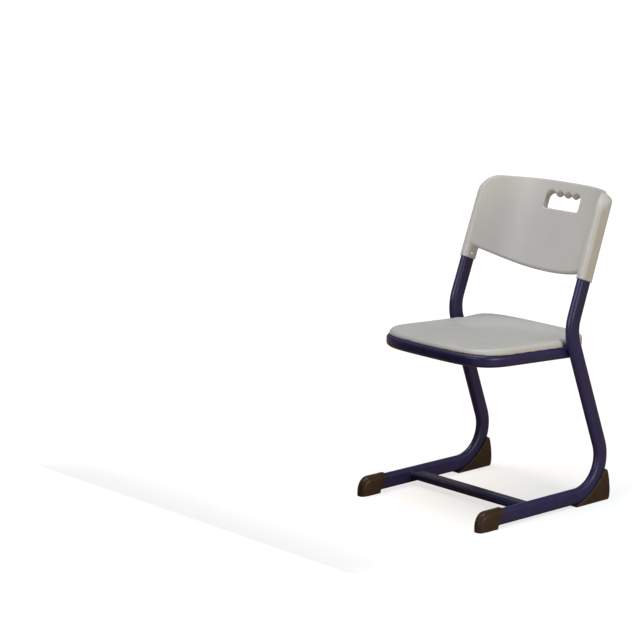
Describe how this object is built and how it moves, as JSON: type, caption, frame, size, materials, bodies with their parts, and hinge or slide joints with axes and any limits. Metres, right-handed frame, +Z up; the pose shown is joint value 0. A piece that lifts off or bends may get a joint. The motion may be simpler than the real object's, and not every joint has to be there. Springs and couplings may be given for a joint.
{
  "type": "student desk chair",
  "caption": "School chair on two bent flat-oval side frames, with a moulded seat on a rail and a curved, sleeved backrest with a finger-grip handle.",
  "frame": {"origin": "centre of the bounding box in plan, at floor level", "axes": "+Z up, -Y the way a sitter faces. Node names call the -X side left and the +X side right, as seen from in front of the chair."},
  "size_m": [0.4432, 0.5276, 0.7674],
  "materials": {
    "frame_paint": "semi-gloss navy powder coat",
    "seat_plastic": "fine-grained warm grey polypropylene",
    "backrest_plastic": "fine-grained warm grey polypropylene",
    "foot_plastic": "satin dark brown polypropylene",
    "fixings": "zinc-plated"
  },
  "bodies": {
    "root": {"side_frame_left": "frame_paint", "side_frame_right": "frame_paint", "floor_crossbar": "frame_paint", "seat_rail": "frame_paint", "seat_rear_bar": "frame_paint", "seat_tab_front_left": "frame_paint", "seat_tab_front_right": "frame_paint", "seat_tab_rear_left": "frame_paint", "seat_tab_rear_right": "frame_paint", "seat_screw_front_left": "fixings", "seat_screw_front_right": "fixings", "seat_screw_rear_left": "fixings", "seat_screw_rear_right": "fixings", "seat_shell": "seat_plastic", "backrest_shell": "backrest_plastic", "backrest_rivet_left": "fixings", "backrest_rivet_right": "fixings", "front_foot_cap_left": "foot_plastic", "front_foot_cap_right": "foot_plastic", "rear_foot_left": "foot_plastic", "rear_foot_right": "foot_plastic"}
  },
  "joints": []
}
